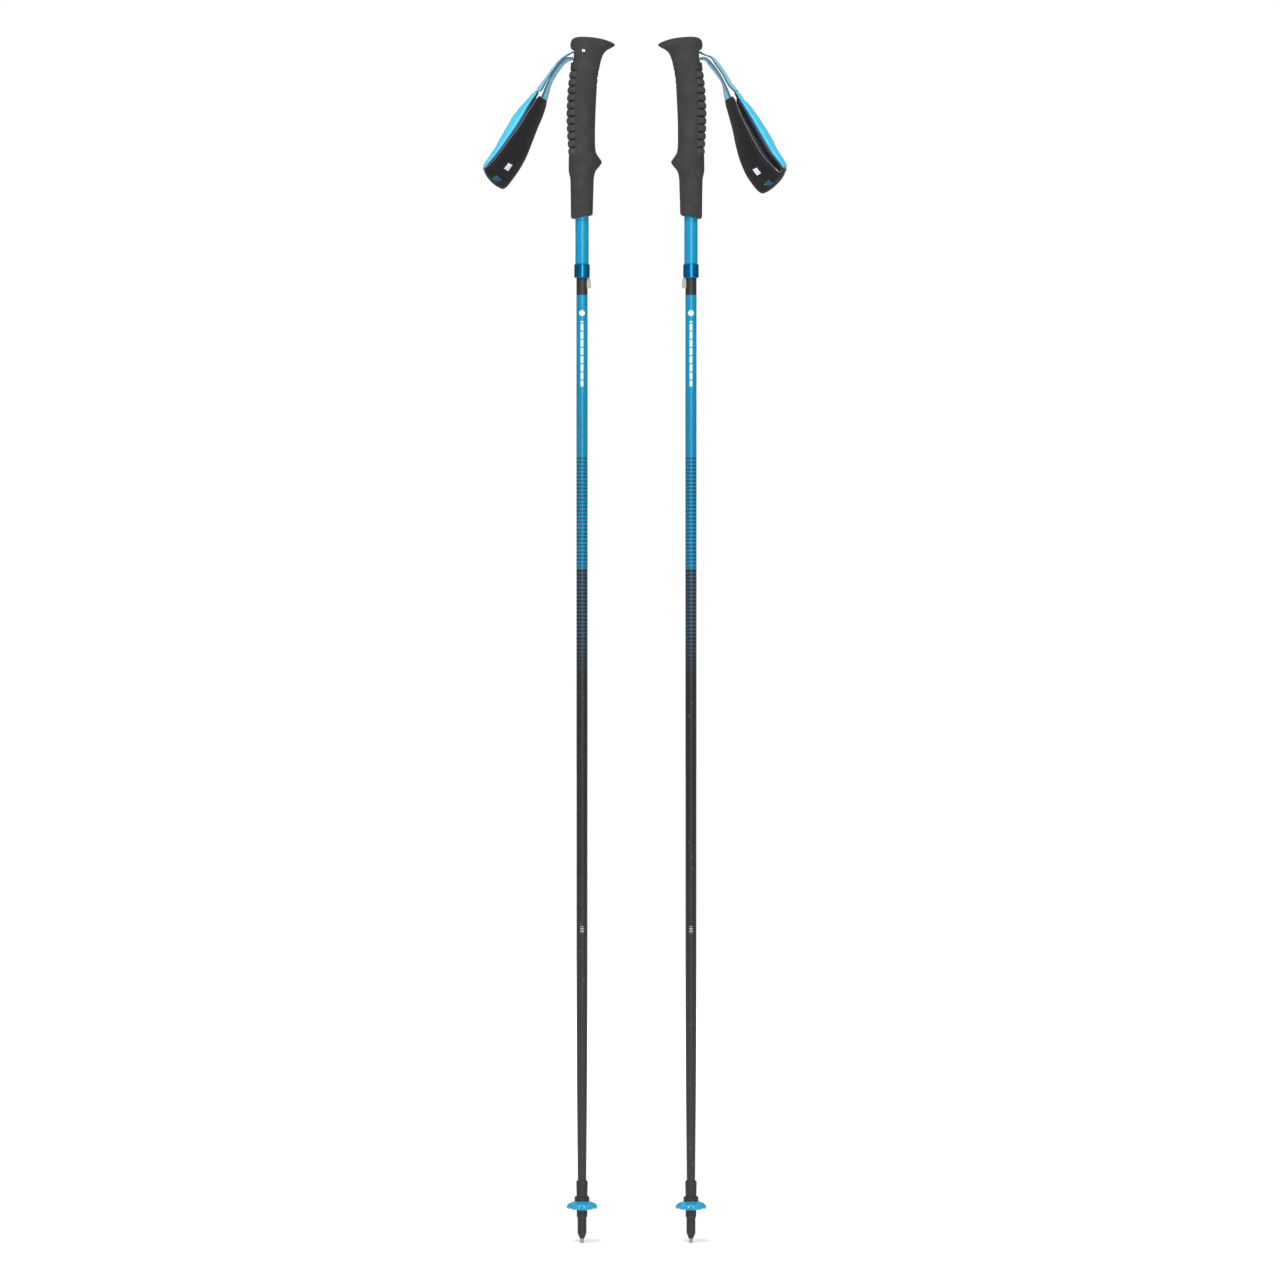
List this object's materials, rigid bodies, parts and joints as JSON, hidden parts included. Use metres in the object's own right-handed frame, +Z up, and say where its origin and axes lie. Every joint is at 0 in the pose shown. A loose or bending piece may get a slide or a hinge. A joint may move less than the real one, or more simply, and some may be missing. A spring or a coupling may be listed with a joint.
{
  "type": "trekking poles",
  "caption": "Folding trekking poles with foam grips, padded wrist straps, a push-button lock, a tension cord, striped shafts, small snow baskets and metal tips.",
  "frame": {"origin": "on the ground midway between the two tips", "axes": "+Z up along the poles, +X from the left pole to the right pole, +Y away from the front"},
  "size_m": [0.3019, 0.0296, 1.2],
  "materials": {
    "grip_eva": "matt closed-cell foam",
    "moulded_black": "fine moulded grain",
    "steel": "bright",
    "webbing_blue": "woven webbing",
    "pad_black": "knitted face over foam, grey lining",
    "shaft_blue": "gloss lacquer with darker hoops",
    "shaft_charcoal": "satin lacquer",
    "collar_blue": "anodised",
    "bush_white": "natural acetal",
    "cord_grey": "braided sheath",
    "button_grey": "smooth",
    "basket_blue": "slightly see-through",
    "tip_metal": "ground"
  },
  "bodies": {
    "left_handle": {"left_grip_foam": "grip_eva", "left_grip_extension": "grip_eva", "left_grip_core": "moulded_black", "left_strap_pin": "steel", "left_strap_root": "webbing_blue", "left_upper_tube": "shaft_blue", "left_lock_collar": "collar_blue", "left_collar_bush": "bush_white", "left_cord_anchor": "moulded_black", "left_tension_spring": "steel", "left_cord_crimp": "steel"},
    "left_strap": {"left_strap_webbing": "webbing_blue", "left_strap_pad": "pad_black", "left_strap_panel": "webbing_blue"},
    "left_upper_section": {"left_upper_section_tube": "shaft_blue", "left_lock_housing": "moulded_black", "left_guide_bush": "bush_white", "left_button_spring": "steel", "left_tension_cord": "cord_grey"},
    "left_button": {"left_release_button": "button_grey"},
    "left_middle_section": {"left_middle_section_tube": "shaft_charcoal", "left_upper_spigot": "moulded_black"},
    "left_lower_section": {"left_lower_section_tube": "shaft_charcoal", "left_lower_spigot": "moulded_black", "left_cord_stop": "moulded_black", "left_tip_ferrule": "moulded_black", "left_basket": "basket_blue", "left_carbide_tip": "tip_metal"},
    "right_handle": {"right_grip_foam": "grip_eva", "right_grip_extension": "grip_eva", "right_grip_core": "moulded_black", "right_strap_pin": "steel", "right_strap_root": "webbing_blue", "right_upper_tube": "shaft_blue", "right_lock_collar": "collar_blue", "right_collar_bush": "bush_white", "right_cord_anchor": "moulded_black", "right_tension_spring": "steel", "right_cord_crimp": "steel"},
    "right_strap": {"right_strap_webbing": "webbing_blue", "right_strap_pad": "pad_black", "right_strap_panel": "webbing_blue"},
    "right_upper_section": {"right_upper_section_tube": "shaft_blue", "right_lock_housing": "moulded_black", "right_guide_bush": "bush_white", "right_button_spring": "steel", "right_tension_cord": "cord_grey"},
    "right_button": {"right_release_button": "button_grey"},
    "right_middle_section": {"right_middle_section_tube": "shaft_charcoal", "right_upper_spigot": "moulded_black"},
    "right_lower_section": {"right_lower_section_tube": "shaft_charcoal", "right_lower_spigot": "moulded_black", "right_cord_stop": "moulded_black", "right_tip_ferrule": "moulded_black", "right_basket": "basket_blue", "right_carbide_tip": "tip_metal"}
  },
  "joints": [
    {"name": "left_handle_slide", "type": "slide", "parent": "left_handle", "child": "left_upper_section", "axis": [0, 0, 1], "range_m": [0, 0.09], "deforming": ["left_tension_cord", "left_release_button", "left_button_spring"]},
    {"name": "left_button_press", "type": "slide", "parent": "left_upper_section", "child": "left_button", "axis": [-1, 0, 0], "range_m": [0, 0.0034], "stiffness_N_per_m": 700, "springref_m": -0.002, "deforming": ["left_button_spring"]},
    {"name": "left_upper_fold", "type": "hinge", "parent": "left_upper_section", "child": "left_middle_section", "pos_m": [-0.0542, 0.013, 0.671], "axis": [1, 0, 0], "range_deg": [0, 180], "deforming": ["left_tension_cord"]},
    {"name": "left_lower_fold", "type": "hinge", "parent": "left_middle_section", "child": "left_lower_section", "pos_m": [-0.06546, 0.0065, 0.381], "axis": [0.5, 0.866, 0], "range_deg": [0, 180], "deforming": ["left_tension_cord"]},
    {"name": "left_strap_swing", "type": "hinge", "parent": "left_handle", "child": "left_strap", "pos_m": [-0.0657, 0, 1.181], "axis": [0, 1, 0], "range_deg": [-18, 45]},
    {"name": "right_handle_slide", "type": "slide", "parent": "right_handle", "child": "right_upper_section", "axis": [0, 0, 1], "range_m": [0, 0.09], "deforming": ["right_tension_cord", "right_release_button", "right_button_spring"]},
    {"name": "right_button_press", "type": "slide", "parent": "right_upper_section", "child": "right_button", "axis": [1, 0, 0], "range_m": [0, 0.0034], "stiffness_N_per_m": 700, "springref_m": -0.002, "deforming": ["right_button_spring"]},
    {"name": "right_upper_fold", "type": "hinge", "parent": "right_upper_section", "child": "right_middle_section", "pos_m": [0.0542, -0.013, 0.671], "axis": [-1, 0, 0], "range_deg": [0, 180], "deforming": ["right_tension_cord"]},
    {"name": "right_lower_fold", "type": "hinge", "parent": "right_middle_section", "child": "right_lower_section", "pos_m": [0.06546, -0.0065, 0.381], "axis": [-0.5, -0.866, 0], "range_deg": [0, 180], "deforming": ["right_tension_cord"]},
    {"name": "right_strap_swing", "type": "hinge", "parent": "right_handle", "child": "right_strap", "pos_m": [0.0657, 0, 1.181], "axis": [0, -1, 0], "range_deg": [-18, 45]},
    {"name": "poles_apart", "type": "slide", "parent": "left_handle", "child": "right_handle", "axis": [1, 0, 0], "range_m": [0, 0.3]}
  ]
}
